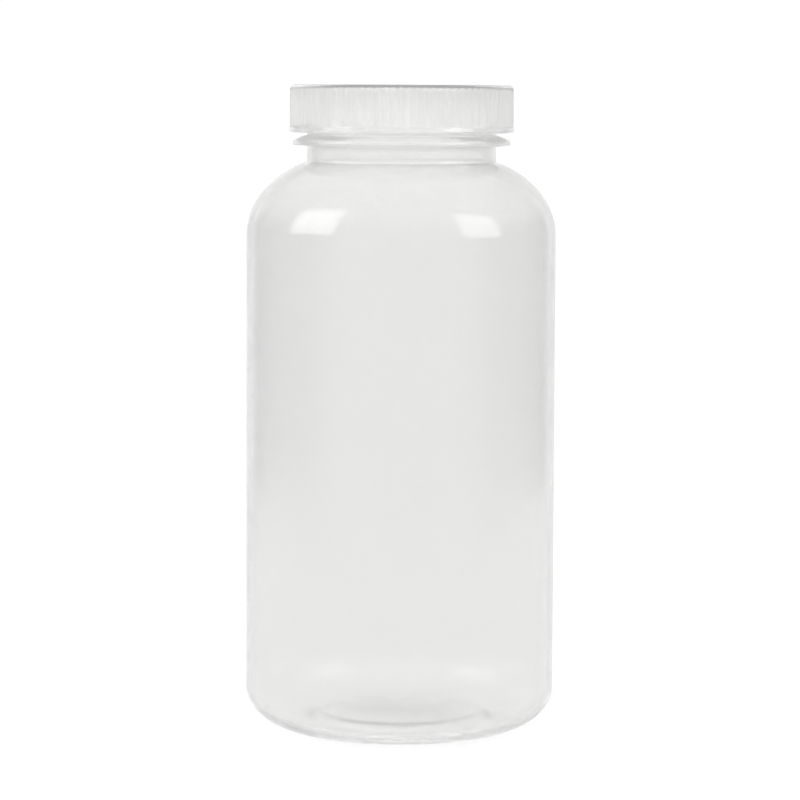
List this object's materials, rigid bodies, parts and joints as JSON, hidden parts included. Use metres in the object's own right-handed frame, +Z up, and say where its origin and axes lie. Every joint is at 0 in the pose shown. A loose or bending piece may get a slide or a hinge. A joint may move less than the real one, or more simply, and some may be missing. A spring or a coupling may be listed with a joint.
{
  "type": "centrifuge bottle",
  "caption": "Round wide-mouth plastic centrifuge bottle with a transfer ring on its neck and a ribbed screw cap over a seal ring.",
  "frame": {"origin": "centre of the ring that the bottle stands on, at the height of that ring", "axes": "+Z up the bottle's axis through the mouth, +X along the pinch-off seam under the base, -Y the side seen from the front"},
  "size_m": [0.095, 0.095, 0.1987],
  "materials": {
    "bottle_plastic": "translucent natural polypropylene, softly polished outside",
    "cap_plastic": "translucent natural polypropylene, injection moulded",
    "seal_rubber": "translucent white silicone, satin"
  },
  "bodies": {
    "bottle": {"bottle": "bottle_plastic"},
    "seal": {"seal_ring": "seal_rubber"},
    "cap": {"cap": "cap_plastic"}
  },
  "joints": [
    {"name": "cap_lift", "type": "slide", "parent": "bottle", "child": "seal", "axis": [0, 0, 1], "range_m": [0, 0.016]},
    {"name": "cap_turn", "type": "hinge", "parent": "seal", "child": "cap", "pos_m": [0, 0, 0.19], "axis": [0, 0, 1], "range_deg": [0, 1440]}
  ],
  "couplings": [
    {"joint": "cap_lift", "follows": "cap_turn", "m_per_rad": 0.00063662}
  ]
}
